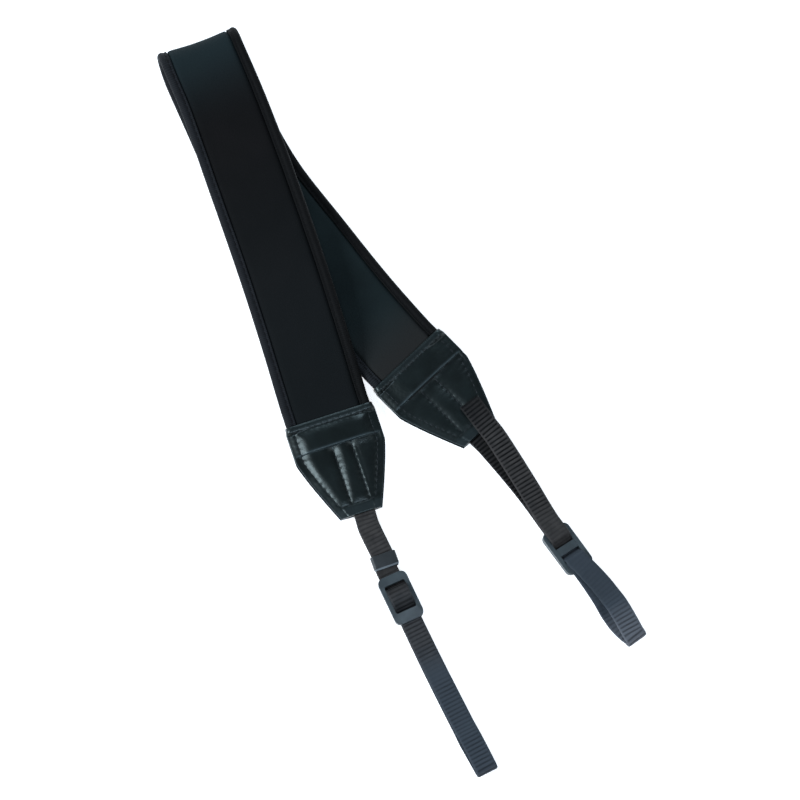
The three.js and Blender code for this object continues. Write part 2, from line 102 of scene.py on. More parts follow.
def add(tree, kind, output, inputs=None, stops=(), **settings):
    node = tree.nodes.new("ShaderNode" + kind)
    for name, value in settings.items():
        setattr(node, name, value)
    for i, (position, colour) in enumerate(stops):
        node.color_ramp.elements[i].position = position
        node.color_ramp.elements[i].color = linear(colour)
    feed(node, inputs or {})
    return node.outputs[output]


def new_finish(name):
    finish = bpy.data.materials.new(name)
    finish.use_nodes = True
    tree = finish.node_tree
    tree.nodes.clear()
    shader = tree.nodes.new("ShaderNodeBsdfPrincipled")
    surface = tree.nodes.new("ShaderNodeOutputMaterial").inputs["Surface"]
    tree.links.new(shader.outputs["BSDF"], surface)
    print("finish", name)
    return finish, tree, shader


print("half grey is", [round(c, 3) for c in linear("#808080")])

# %% [markdown]
# ## Floor and light
#
# The ground of the picture is white paper, a little overexposed, with almost no shadow. The sheet here also
# glows a little, like a light table, which fills the shadows. A wide lamp on the left makes the highlights
# on the left slopes of the leather, weaker ones show the other edges, and the sky stays dim, because black
# cloth would mirror it and turn grey. The lamps are a little blue: the paper clips to white, but the gloss
# keeps the tint.

# %% Floor and light
PAPER_GLOW = 0.68
PAPER_FIBRE = 6 * MM
LAMPS = [
    # name, place, width, watts, colour
    ("lamp_left", (-1.2, -0.3, 0.95), 0.7, 26.0, "#e8f4ff"),
    ("lamp_back", (-0.1, 1.35, 0.8), 0.7, 10.0, "#d8eeff"),
    ("lamp_right", (1.25, -0.2, 1.0), 0.8, 5.0, "#e9f4ff"),
    ("lamp_front", (0.25, -0.95, 1.4), 0.6, 11.0, "#d8eaff"),
]
SKY = 0.14

paper, tree, shader = new_finish("white_paper")
place = add(tree, "TexCoord", "Object")
fibres = add(tree, "TexNoise", "Fac", {"Vector": place, "Scale": 1 / PAPER_FIBRE, "Detail": 4.0})
tint = add(tree, "ValToRGB", "Color", {"Fac": fibres}, stops=[(0, "#f4f5f5"), (1, "#fbfbfb")])
glow = {"Emission Color": linear("#ffffff"), "Emission Strength": PAPER_GLOW}
feed(shader, {"Base Color": tint, "Roughness": 0.9, **glow})

bm = bmesh.new()
bmesh.ops.create_grid(bm, x_segments=1, y_segments=1, size=4)
sheet_of_paper = bpy.data.meshes.new("floor")
bm.to_mesh(sheet_of_paper)
bm.free()
sheet_of_paper.materials.append(paper)
floor = bpy.data.objects.new("floor", sheet_of_paper)
scene.collection.objects.link(floor)

for name, where, width, watts, colour in LAMPS:
    light = bpy.data.lights.new(name, "AREA")
    light.size = width
    light.energy = watts
    light.color = linear(colour)[:3]
    lamp = bpy.data.objects.new(name, light)
    lamp.location = where
    lamp.rotation_euler = (AIM - Vector(where)).to_track_quat("-Z", "Y").to_euler()
    lamp.visible_camera = False
    scene.collection.objects.link(lamp)

world = bpy.data.worlds.new("dim_sky")
world.use_nodes = True
feed(world.node_tree.nodes["Background"], {"Color": linear("#eef6ff"), "Strength": SKY})
scene.world = world
scene.view_settings.view_transform = "Standard"
print(len(LAMPS), "lamps")

# %% [markdown]
# ## The line that the strap follows
#
# All soft pieces are cut flat and then laid along one line, as a real strap is. It starts at the loop of
# the back end, runs under the front leg, turns over in the fold and ends at the loop of the front end. Each
# row gives a place in millimetres, the heading of the leg there, how far its side is lifted, and for how
# long the strap runs straight on both sides of the row. These are the rows of the CAD source.

# %% Rows of the line
BACK_RUN = [
    # place, x, y, z, heading, roll, straight
    ("back_eye", 102.1, -103.3, 3.75, 37, 0, 9),
    ("back_slider", 75.5, -67.6, 6.9, 35.5, -10, 15),
    ("back_web", 55.1, -38.0, 5.6, 38, -4, 0),
    ("back_leather", 19.0, 3.6, 4.0, 44, 0, 30),
    ("back_low", -21.2, 47.9, 3.4, 38.5, 0, 0),
    ("back_leg", -42.2, 74.9, 4.1, 37.5, -3, 0),
    ("back_high", -62.2, 101.3, 3.7, 33.5, -3, 0),
    ("back_bend", -72.0, 118.1, 3.4, 27, -2, 0),
    ("back_turn", -79.6, 134.5, 3.1, 22.5, -1, 0),
]
FRONT_RUN = [
    ("front_turn", -82.5, 141.0, 19.8, 21.5, 3, 0),
    ("front_high", -74.9, 121.2, 17.0, 21, 8, 0),
    ("front_leg", -54.4, 62.2, 13.4, 18.8, 7, 0),
    ("front_low", -43.1, 26.4, 11.4, 18, 7, 0),
    ("front_leather", -25.5, -28.4, 4.0, 18.3, 0, 30),
    ("front_keeper", -7.4, -73.3, 3.2, 23.5, 0, 0),
    ("front_slider", -0.3, -90.4, 2.6, 25, 0, 15),
    ("front_loop", 16.5, -125.8, 1.7, 26, 0, 0),
    ("front_eye", 35.3, -164.0, 3.75, 28, 0, 9),
]
FOLD = Measures(x=-89.7, y=157.7, foot=3.05, radius=9.5, heading=20.5, rows=7)


def fold_rows():
    turn = math.radians(FOLD.heading)
    for i in range(FOLD.rows):
        angle = math.pi * (i / (FOLD.rows - 1) - 0.5)
        out = FOLD.radius * math.cos(angle)
        x = FOLD.x - out * math.sin(turn)
        y = FOLD.y + out * math.cos(turn)
        z = FOLD.foot + FOLD.radius * (1 + math.sin(angle))
        yield (f"fold_{i}", x, y, z, FOLD.heading, 0)


def straight_rows(run, towards_tip):
    for name, x, y, z, heading, roll, straight in run:
        turn = math.radians(heading)
        for share in (-1, -0.8, 0, 0.8, 1) if straight else (0,):
            offset = share * towards_tip * straight
            there = (x + offset * math.sin(turn), y - offset * math.cos(turn), z)
            yield (name if share == 0 else "", *there, heading, roll)


rows = [*straight_rows(BACK_RUN, -1), *fold_rows(), *straight_rows(FRONT_RUN, 1)]
print(len(rows), "rows on the line")

# %% [markdown]
# A smooth line goes through the rows. A centripetal Catmull-Rom curve is used, because it passes every row
# and makes no loops where rows lie close together. A `Strip` is such a line with a width: it knows how far
# along each sample is, which way the strap's side and face point there, and so where a point of a flat
# piece goes that lies so far across, along and up.

# %% A line with a width
SAMPLES = 60


def through(points, centripetal):
    ends = 2 * points[0] - points[1], 2 * points[-1] - points[-2]
    points = np.vstack([ends[0], points, ends[1]])
    share = np.linspace(0, 1, SAMPLES, endpoint=False)[:, None]
    line = []
    for a, b, c, d in zip(points, points[1:], points[2:], points[3:]):
        leave, arrive = (c - a) / 2, (d - b) / 2
        if centripetal:
            p, q, r = (math.sqrt(np.linalg.norm(v)) for v in (b - a, c - b, d - c))
            leave = q * ((b - a) / p - (c - a) / (p + q) + (c - b) / q)
            arrive = q * ((c - b) / q - (d - b) / (q + r) + (d - c) / r)
        bend = 3 * (c - b) - 2 * leave - arrive
        twist = 2 * (b - c) + leave + arrive
        line.append(b + share * leave + share**2 * bend + share**3 * twist)
    return np.vstack([*line, points[-2]])


def unit(vectors):
    return vectors / np.linalg.norm(vectors, axis=1, keepdims=True)


def run_lengths(points):
    """How far along its line each point is."""
    return np.concatenate([[0.0], np.cumsum(np.linalg.norm(np.diff(points, axis=0), axis=1))])


class Strip:
    def __init__(self, points, sides, starts_at=0.0):
        self.at = run_lengths(points) - starts_at
        self.points = points
        along = unit(np.gradient(points, self.at, axis=0))
        self.sides = unit(sides - (sides * along).sum(1, keepdims=True) * along)
        self.faces = np.cross(along, self.sides)

    def read(self, values, along):
        return np.stack([np.interp(along, self.at, column) for column in values.T], axis=1)

    def place(self, flat):
        across, along, up = np.asarray(flat, float).T
        sides = self.read(self.sides, along) * across[:, None]
        faces = self.read(self.faces, along) * up[:, None]
        return self.read(self.points, along) + sides + faces


middle = through(np.array([row[1:4] for row in rows]), True)
heading, roll = np.radians(through(np.array([row[4:6] for row in rows], float), False)).T
strap = Strip(middle, np.stack([np.cos(heading), np.sin(heading), np.tan(roll)], axis=1))


def distance_to(place):
    return strap.at[[row[0] for row in rows].index(place) * SAMPLES]


print("line", round(strap.at[-1], 1), "mm")

# %% Both ends of the strap
LEATHER_LENGTH = 48
HEM = {
    "back": distance_to("back_leather") + LEATHER_LENGTH / 2,
    "front": distance_to("front_leather") - LEATHER_LENGTH / 2,
}
ends = {
    "back": Strip(middle[::-1], -strap.sides[::-1], strap.at[-1] - HEM["back"]),
    "front": Strip(middle, strap.sides, HEM["front"]),
}
FOLD_TOP = (distance_to("fold_0") + distance_to("fold_6")) / 2
print("band", round(HEM["front"] - HEM["back"], 1), "mm from hem to hem")

# %% [markdown]
# ## Flat cuts
#
# A flat cut is a grid of quads from one operator, with its columns and rows moved to where the detail is.
# Extruding all of its faces closes it to a slab. The place of each corner on the flat cut goes into a UV
# map in metres, so that a weave follows the cloth round every bend. Laying it down then moves each point to
# its place on the strip. A strip's side, direction and face make a left-handed set, which turns the faces
# round, so they are turned back.

# %% Blends and steps
def smoothstep(share):
    share = np.clip(share, 0, 1)
    return share * share * (3 - 2 * share)


def past(value, line, blend):
    """From 0 to 1 across a line. blend: where the change starts, seen from the line, and how far it goes."""
    return smoothstep((value - line - blend[0]) / blend[1])


def lerp(low, high, share):
    return low + (high - low) * share


def hill(offset, reach):
    return np.exp(-((offset / reach) ** 2))


def spaced(low, high, step):
    return np.linspace(low, high, max(2, round((high - low) / step) + 1))


# %% Cutting and closing
def flat_cut(columns, rows, *attributes):
    bm = bmesh.new()
    for attribute in attributes:
        bm.verts.layers.float.new(attribute)
    bmesh.ops.create_grid(bm, x_segments=len(columns) - 1, y_segments=len(rows) - 1, size=0.5)
    for v in bm.verts:
        column = round((v.co.x + 0.5) * (len(columns) - 1))
        row = round((v.co.y + 0.5) * (len(rows) - 1))
        v.co = (columns[column], rows[row], 0)
    return bm


def extrude(bm, faces, deep):
    made = bmesh.ops.extrude_face_region(bm, geom=faces)["geom"]
    moved = [g for g in made if isinstance(g, bmesh.types.BMVert)]
    bmesh.ops.translate(bm, verts=moved, vec=(0, 0, deep))
    return moved


def close_to_slab(bm):
    upper = extrude(bm, bm.faces[:], 0)
    raised = set(upper)
    return upper, [v for v in bm.verts if v not in raised]


def flat_places(verts):
    return np.array([v.co for v in verts])


def move(verts, places):
    for v, place in zip(verts, places):
        v.co = place


# %% What a cut carries, and laying it down
def write_cut_map(bm):
    cut = bm.loops.layers.uv.new("cut")
    for face in bm.faces:
        for corner in face.loops:
            corner[cut].uv = corner.vert.co.xy * MM


def write_attribute(bm, name, verts, values):
    layer = bm.verts.layers.float[name]
    for v, value in zip(verts, values):
        v[layer] = value


def lay(bm, strip):
    move(bm.verts, strip.place(flat_places(bm.verts)) * MM)
    bmesh.ops.reverse_faces(bm, faces=bm.faces[:])


def uneven(flat, size, depth, seed):
    """Soft lumps of a given size and depth in millimetres."""
    shift = Vector((seed * 7.3, seed * 3.1, seed * 5.7))
    return depth * np.array([noise.noise(Vector(p) / size + shift) for p in flat])


def finish_piece(bm, name, finishes, stands_for=()):
    mesh = bpy.data.meshes.new(name)
    bm.to_mesh(mesh)
    bm.free()
    mesh.shade_smooth()
    for finish in finishes:
        mesh.materials.append(finish)
    piece = bpy.data.objects.new(name, mesh)
    scene.collection.objects.link(piece)
    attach(piece, "root")
    if stands_for:
        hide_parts(*stands_for)
    print(name, len(mesh.polygons), "faces")
    return piece


# %% [markdown]
# ## Finish of the padded band
#
# The band is neoprene foam with nylon jersey glued on both sides. Black jersey is matt, with a faint sheen
# from its loose fibres and almost no mirror. Its loops are about 0.5 mm, too fine for this picture, so they
# are drawn at 0.9 mm to show from near. Slow changes of tone keep it from looking like paint. The reverse,
# which shows on the back leg, is a little cooler and shinier. Each side has a second tone, and the mesh
# says in an attribute, from 0 to 1, where it shows: the face is paler at the fold and a little towards the
# front leather, which is painted light, and the reverse is greyer by the back leather.

# %% Jersey on foam
LOOP = 0.9 * MM
TONE_PATCH = 38 * MM


def jersey(name, dark, light, second_tone, mirror, sheen):
    finish, tree, shader = new_finish(name)
    cut = add(tree, "UVMap", "UV", uv_map="cut")
    patches = add(tree, "TexNoise", "Fac", {"Vector": cut, "Scale": 1 / TONE_PATCH, "Detail": 3.0})
    tone = add(tree, "ValToRGB", "Color", {"Fac": patches}, stops=[(0.3, dark), (0.75, light)])
    painted_light_and_grey = add(tree, "Attribute", "Fac", attribute_name="painted_light_and_grey")
    cloth = add(tree, "MixRGB", "Color", {"Fac": painted_light_and_grey, "Color1": tone, "Color2": linear(second_tone)})
    loops = add(tree, "TexVoronoi", "Distance", {"Vector": cut, "Scale": 1 / LOOP, "Randomness": 0.35})
    relief = add(tree, "Bump", "Normal", {"Height": loops, "Strength": 0.5, "Distance": 0.12 * MM})
    yarn = {"Roughness": 0.82, "IOR": 1.53, "Specular IOR Level": mirror}
    hairs = {"Sheen Weight": sheen, "Sheen Roughness": 0.45, "Sheen Tint": linear("#dfeaf2")}
    feed(shader, {"Base Color": cloth, "Normal": relief, **yarn, **hairs})
    return finish


# second tones: on the face a painted light, paler at the fold and towards the front leather; on the reverse a
# grey by the back leather
jersey_face = jersey("nylon_jersey_face", "#0b0a0a", "#121010", "#1b2426", 0.05, 0.02)
jersey_reverse = jersey("nylon_jersey_reverse", "#0f1718", "#1a2425", "#1f1f1e", 0.09, 0.04)

# %% [markdown]
# ## The padded band
#
# The real band is a strip of foam about 5 mm thick. Its edges are pressed flat where the tape is sewn on,
# so the panel stands up between two grooves. A cloth simulation would need a remesh coarser than those
# grooves, so the strip is cut flat, closed to a slab and pressed into shape by a table of half its section.
# It thins and draws in at the fold, sinks a little in the middle there, and narrows to a tongue inside each
# leather end.

# %% Section of the band
BAND_SECTION = [
    # across, up
    (0, 2.72), (8, 2.70), (12.4, 2.62), (13.6, 2.46), (14.3, 2.14),
    (14.7, 1.62), (14.95, 1.12), (15.3, 0.90), (18.4, 0.80),
]
TONGUE = Measures(length=15, wide=0.89, thick=0.8, starts=1.1, full=2.2)
AT_FOLD = [
    # share that is left at the fold, and how far from it the band starts and ends to recover
    (0.965, 25, 75),  # of the width
    (0.75, 8, 22),  # of the thickness
]
PANEL = Measures(edge=15, blend=4)
DENTS = [
    # size, depth, seed
    (26, 0.2, 1),
    (9, 0.05, 4),
]
FOLD_SINK = 0.9
FOLD_REACH = 12
# painted light on the face: its reach about the fold, how far past the fold it is centred, and its share at
# the front leather
FOLD_LIGHT_REACH = 20
FOLD_LIGHT_SHIFT = 8
HEM_PAINTED_LIGHT = 0.25
GREY_REACH = 30


def band_shares(distance):
    off_fold = np.abs(distance - FOLD_TOP)
    return [lerp(left, 1, smoothstep((off_fold - start) / (end - start))) for left, start, end in AT_FOLD]


def tongue_share(distance):
    inside = np.maximum(HEM["back"] - distance, distance - HEM["front"])
    return smoothstep((inside - TONGUE.starts) / (TONGUE.full - TONGUE.starts))


print("share of width and thickness at the fold", band_shares(FOLD_TOP))

# %% The padded band
half_columns = np.concatenate([spaced(0, 12, 1.2)[:-1], spaced(12, 15.4, 0.34), [16.5, 18.4]])
columns = np.concatenate([-half_columns[:0:-1], half_columns])
lengths = spaced(HEM["back"] - TONGUE.length, HEM["front"] + TONGUE.length, 1.2)
bm = flat_cut(columns, lengths, "painted_light_and_grey")
upper, lower = close_to_slab(bm)
write_cut_map(bm)
section_across, section_up = np.array(BAND_SECTION).T
for verts, sign in ((upper, 1), (lower, -1)):
    flat = flat_places(verts)
    across, distance = flat[:, 0], flat[:, 1]
    wide, thick = band_shares(distance)
    tongue = tongue_share(distance)
    height = np.interp(np.abs(across), section_across, section_up)
    panel = smoothstep((PANEL.edge - np.abs(across)) / PANEL.blend)
    dents = sum(uneven(flat, size, depth, seed + sign) for size, depth, seed in DENTS)
    height = (height + dents * panel) * thick * lerp(1, TONGUE.thick, tongue)
    sunk = hill(distance - FOLD_TOP, FOLD_REACH) * np.clip(1 - (across / PANEL.edge) ** 2, 0, 1)
    flat[:, 0] = across * wide * lerp(1, TONGUE.wide, tongue)
    flat[:, 2] = sign * height - FOLD_SINK * sunk
    if sign > 0:
        # painted light: the face is painted paler at the fold and a little towards the front leather
        at_fold = hill(distance - FOLD_TOP - FOLD_LIGHT_SHIFT, FOLD_LIGHT_REACH)
        painted_light_and_grey = at_fold + HEM_PAINTED_LIGHT * smoothstep((distance - FOLD_TOP) / (HEM["front"] - FOLD_TOP))
    else:
        painted_light_and_grey = smoothstep((HEM["back"] + GREY_REACH - distance) / GREY_REACH)
    write_attribute(bm, "painted_light_and_grey", verts, painted_light_and_grey)
    move(verts, flat)
reverse_side = set(lower)
for face in bm.faces:
    face.material_index = int(all(v in reverse_side for v in face.verts))
lay(bm, strap)
band = finish_piece(bm, "padded_band", [jersey_face, jersey_reverse], ["neck_pad"])

# %% [markdown]
# ## Finish of the edge tape
#
# The tape over the edges is polyester grosgrain, woven with cross ribs. Its thread is a bit glossier than
# jersey, and the ribs catch the lamp as fine lines. They are about 0.6 mm apart on the real tape and 0.9 mm
# here, so that they show from near. The tape on the left is painted paler than the one on the right, a
# painted light from the left side.

# %% Grosgrain tape
TAPE_RIB = 0.9 * MM
TAPE_PATCH = 7 * MM
WAVE_REPEAT = 2 * math.pi / 20  # a wave texture of scale 1 repeats after this length


def grosgrain(name, dark, light):
    finish, tree, shader = new_finish(name)
    cut = add(tree, "UVMap", "UV", uv_map="cut")
    ribs = add(tree, "TexWave", "Fac", {"Vector": cut, "Scale": WAVE_REPEAT / TAPE_RIB}, bands_direction="Y")
    patches = add(tree, "TexNoise", "Fac", {"Vector": cut, "Scale": 1 / TAPE_PATCH, "Detail": 4.0})
    shade = add(tree, "Math", "Value", {0: ribs, 1: patches}, operation="MULTIPLY")
    tone = add(tree, "ValToRGB", "Color", {"Fac": shade}, stops=[(0, dark), (0.7, light)])
    relief = add(tree, "Bump", "Normal", {"Height": ribs, "Strength": 0.6, "Distance": 0.1 * MM})
    yarn = {"Roughness": 0.7, "IOR": 1.57, "Specular IOR Level": 0.07}
    hairs = {"Sheen Weight": 0.01, "Sheen Roughness": 0.4, "Sheen Tint": linear("#dce8f0")}
    feed(shader, {"Base Color": tone, "Normal": relief, **yarn, **hairs})
    return finish


# the left tape is painted paler: painted light from the left
grosgrain_of = {
    "right": grosgrain("polyester_grosgrain", "#080808", "#101010"),
    "left": grosgrain("polyester_grosgrain_painted_light", "#131416", "#222427"),
}

# %% [markdown]
# ## The edge tape
#
# A tape is folded lengthwise over each edge of the band and sewn through both sides. The table gives half
# of its section, from the edge to the lip: it bulges over the edge and is pulled down at the stitches.
# The tape is cut flat, folded by moving its columns to that section, laid along the strap, and given its
# thickness by Solidify, which works inwards. It ripples where it is short of room, on the inside of the fold.

# %% Section of the tape
TAPE_SECTION = [
    # across, up
    (20, 0), (19.86, 0.85), (19.40, 1.60), (18.60, 2.12), (17.70, 2.27),
    (17.05, 2.05), (16.55, 1.72), (16.10, 1.86), (15.60, 1.95), (15.25, 1.80),
]
TAPE_WALL = 0.75
TAPE_TUCK = 2.2
STITCH_ROW = 16.55
RIPPLE = Measures(pitch=5.2, depth=0.35)
WAVER = Measures(size=11, depth=0.12, seed=9, upright=0.6, within=19, blend=2)
SIDES = {"right": 1, "left": -1}

half = through(np.array(TAPE_SECTION), True)
half_at = run_lengths(half)
TAPE_HALF = half_at[-1]
tape_columns = spaced(-TAPE_HALF, TAPE_HALF, 0.42)
tape_lengths = spaced(HEM["back"] - TAPE_TUCK, HEM["front"] + TAPE_TUCK, 1.0)

# %% The edge tape
for name, side in SIDES.items():
    bm = flat_cut(tape_columns, tape_lengths)
    write_cut_map(bm)
    flat = flat_places(bm.verts)
    round_it, distance = -flat[:, 0] * side, flat[:, 1]
    across = np.interp(np.abs(round_it), half_at, half[:, 0])
    up = np.interp(np.abs(round_it), half_at, half[:, 1]) * np.sign(round_it)
    wide, _ = band_shares(distance)
    near_fold = hill(distance - FOLD_TOP, FOLD_REACH)
    inner = smoothstep(-up / 2)
    ripple = RIPPLE.depth * np.sin(2 * math.pi * distance / RIPPLE.pitch) * near_fold * inner
    folded = np.stack([across * side, distance, up], axis=1)
    waver = uneven(folded, WAVER.size, WAVER.depth, WAVER.seed)
    flat[:, 0] = side * (across + waver * smoothstep((WAVER.within - across) / WAVER.blend)) * wide
    flat[:, 2] = up - ripple + waver * WAVER.upright
    move(bm.verts, flat)
    lay(bm, strap)
    tape = finish_piece(bm, "edge_tape_" + name, [grosgrain_of[name]], ["binding_" + name])
    wall = tape.modifiers.new("wall", "SOLIDIFY")
    wall.thickness = TAPE_WALL * MM
    wall.offset = -1

# %% [markdown]
# ## Finish of the thread
#
# Seams are sewn with bonded polyester thread, about 0.4 mm thick: black on the tapes, dark grey on the
# leather, where a paler dash marks each stitch. The twist of its plies is a fine wave, drawn coarser than the
# real 0.3 mm so that it shows from near.

# %% Bonded thread
TWIST = 0.5 * MM


def sewing_thread(name, dark, light):
    finish, tree, shader = new_finish(name)
    twist = {"Vector": add(tree, "TexCoord", "Object"), "Scale": WAVE_REPEAT / TWIST}
    plies = add(tree, "TexWave", "Fac", twist, bands_direction="DIAGONAL")
    tone = add(tree, "ValToRGB", "Color", {"Fac": plies}, stops=[(0, dark), (1, light)])
    relief = add(tree, "Bump", "Normal", {"Height": plies, "Strength": 0.4, "Distance": 0.05 * MM})
    yarn = {"Roughness": 0.6, "IOR": 1.57, "Specular IOR Level": 0.08}
    feed(shader, {"Base Color": tone, "Normal": relief, **yarn})
    return finish


black_thread = sewing_thread("polyester_thread_black", "#050505", "#0c0c0d")
grey_thread = sewing_thread("polyester_thread_grey", "#202324", "#36393b")

# %% [markdown]
# ## Stitches
#
# One stitch is a short length of thread that dips into the cloth at both ends: a small stretched ball with
# few faces, because it is repeated hundreds of times. It is put down on the flat cut, turned along its seam,
# and laid on the strap with everything else.

# %% Stitches on a flat seam
STITCH = Measures(long=2.3, thick=0.42, above_tape=0.05, above_leather=0.02)


def sew(bm, seam, pitch):
    """seam: places (across, along, up) close together, in the order of sewing."""
    seam = np.asarray(seam, float)
    at = run_lengths(seam)
    count = max(1, round(at[-1] / pitch))
    for middle_at in (np.arange(count) + 0.5) * at[-1] / count:
        spot, before, after = (
            Vector([np.interp(middle_at + step, at, column) for column in seam.T])
            for step in (0, -0.5, 0.5)
        )
        turn = (after - before).to_track_quat("Y", "Z").to_matrix().to_4x4()
        size = Matrix.Diagonal((STITCH.thick / 2, STITCH.long / 2, STITCH.thick / 2, 1))
        upright = Matrix.Rotation(math.pi / 2, 4, "X")
        bmesh.ops.create_uvsphere(
            bm, u_segments=6, v_segments=5, radius=1, matrix=Matrix.Translation(spot) @ turn @ size @ upright
        )
    return count


# %% Stitches of the tapes
TAPE_PITCH = 3.2
for name, side in SIDES.items():
    bm = bmesh.new()
    distances = spaced(HEM["back"] + 1, HEM["front"] - 1, 1.0)
    wide, _ = band_shares(distances)
    height = np.interp(-STITCH_ROW, -half[:, 0], half[:, 1]) + STITCH.above_tape
    count = 0
    for face_side in (1, -1):
        up = np.full_like(distances, face_side * height)
        count += sew(bm, np.stack([side * STITCH_ROW * wide, distances, up], axis=1), TAPE_PITCH)
    lay(bm, strap)
    finish_piece(bm, "tape_stitches_" + name, [black_thread])
    print(count, "stitches")

# %% [markdown]
# ## Finish of the leather
#
# The ends are coated leather: hide or microfibre with a black polyurethane skin, embossed with a pebble
# grain of about 1 mm. The coat is smooth, so lamps make soft bright streaks on the puffed parts. Along the
# lip of the step, at the cut edges, at the mouth and a little on the hem it is polished where it rubs, and
# it is painted greyer there as a painted highlight. An attribute, which the mesh carries, says where that is.

# %% Coated leather
GRAIN = 1.0 * MM
GRAIN_SHIFT = 0.6 * MM
CLOUD = 9 * MM

leather, tree, shader = new_finish("coated_leather")
place = add(tree, "TexCoord", "Object")
bend = add(tree, "TexNoise", "Color", {"Vector": place, "Scale": 1 / (1.6 * GRAIN), "Detail": 2.0})
bent = {"Fac": GRAIN_SHIFT, "Color1": place, "Color2": bend}
shifted = add(tree, "MixRGB", "Color", bent, blend_type="ADD")
pebbles = add(tree, "TexVoronoi", "Distance", {"Vector": shifted, "Scale": 1 / GRAIN}, feature="SMOOTH_F1")
pores = add(tree, "TexNoise", "Fac", {"Vector": place, "Scale": 1 / (0.25 * GRAIN), "Detail": 3.0})
clouds = add(tree, "TexNoise", "Fac", {"Vector": place, "Scale": 1 / CLOUD, "Detail": 3.0})
# painted highlight: where the attribute says, the coat is painted greyer, and it is polished a little
# smoother
painted_highlight_and_polish = add(tree, "Attribute", "Fac", attribute_name="painted_highlight_and_polish")
tone = add(tree, "ValToRGB", "Color", {"Fac": clouds}, stops=[(0.35, "#04090a"), (0.7, "#081011")])
painted_light_and_grey = add(tree, "MixRGB", "Color", {"Fac": painted_highlight_and_polish, "Color1": tone, "Color2": linear("#343d40")})
gloss = add(tree, "MapRange", "Result", {"Value": clouds, "To Min": 0.3, "To Max": 0.42})
polished = add(tree, "Math", "Value", {0: painted_highlight_and_polish, 1: -0.06, 2: gloss}, operation="MULTIPLY_ADD")
grain = add(tree, "Bump", "Normal", {"Height": pebbles, "Strength": 0.35, "Distance": 0.12 * MM})
pitted = {"Height": pores, "Strength": 0.2, "Distance": 0.05 * MM, "Normal": grain}
fine = add(tree, "Bump", "Normal", pitted)
skin = {"IOR": 1.5, "Specular IOR Level": 0.45, "Specular Tint": linear("#e6f4f1")}
feed(shader, {"Base Color": painted_light_and_grey, "Roughness": polished, "Normal": fine, **skin})

# %% [markdown]
# ## Shape of the leather ends
#
# Each end is a sleeve of two leather cuts, sewn together round the edge. The band's tongue goes in at the
# hem and the webbing at the mouth. Seams divide the cut into puffed cells: a hem strip, a band that
# overlaps the lower part with a step, and three cells below it, the middle one over the webbing. The
# leather is low at the stitches and rises from them in a dome, which is wide at the hem and narrow at the
# mouth, so its height follows from the distance to the nearest seam. The cell on the right of the webbing
# is flatter than the others.

# %% Outline of the leather
LEATHER = Measures(
    reach=21.2, hem_reach=20.7, mouth_reach=10, taper_from=17.6, taper_curve=1.15,
    hem_seam=3.2, cross_seam=14.4, mouth_seam=43, edge_seam=3.7, web_seam=4.4, sewn_across=1.4,
    hem_blend=(-0.3, 1.2), step_blend=(-0.2, 0.4), mouth_blend=(0.4, 1.2), edge_blend=(-0.4, 0.8),
    crest=4.2, mouth_crest=2.6, sewn=2.05, mouth_sewn=1.75, over_band=3.25, rim=1.35,
    band_reach=16.5, band_blend=8, band_end=18, band_end_blend=6,
    dome=5.2, mouth_dome=2.6, right_cell=0.45, soft=0.6, step=0.75, step_fades=2.2,
    hem_strip=3.45, hem_puff=0.4, hem_round=2.4, mouth_strip=2.1, edge_drop=0.4, edge_round=0.5,
    rest_at=4.0, wall=1.05,
)
FAR = 99.0


def leather_reach(from_hem):
    L = LEATHER
    flared = lerp(L.hem_reach, L.reach, smoothstep(from_hem / L.hem_seam))
    closing = np.clip((from_hem - L.taper_from) / (LEATHER_LENGTH - L.taper_from), 0, 1)
    return flared - (L.reach - L.mouth_reach) * closing ** L.taper_curve


def below_step(from_hem):
    return (from_hem - LEATHER.cross_seam) / (LEATHER_LENGTH - LEATHER.cross_seam)


def leather_crest(from_hem):
    return lerp(LEATHER.crest, LEATHER.mouth_crest, smoothstep(below_step(from_hem)))


print("reach of the leather at hem and mouth", leather_reach(np.array([0, LEATHER_LENGTH])), "mm")


# %% Distance to a seam
def to_nearest_seam(across, from_hem):
    L = LEATHER
    web = np.abs(np.abs(across - L.sewn_across) - L.web_seam)
    in_panel = (from_hem > L.cross_seam) & (from_hem < L.mouth_seam)
    seams = [
        np.abs(from_hem - L.hem_seam),
        np.abs(from_hem - L.mouth_seam),
        np.abs(leather_reach(from_hem) - np.abs(across) - L.edge_seam),
        np.where(in_panel, web, FAR),
    ]
    joined = sum(np.exp(-distance / L.soft) for distance in seams)
    return np.maximum(0, -L.soft * np.log(joined + 1e-30))


# %% Height of the leather
def quarter_round(share):
    return np.sqrt(1 - (1 - np.clip(share, 0, 1)) ** 2)


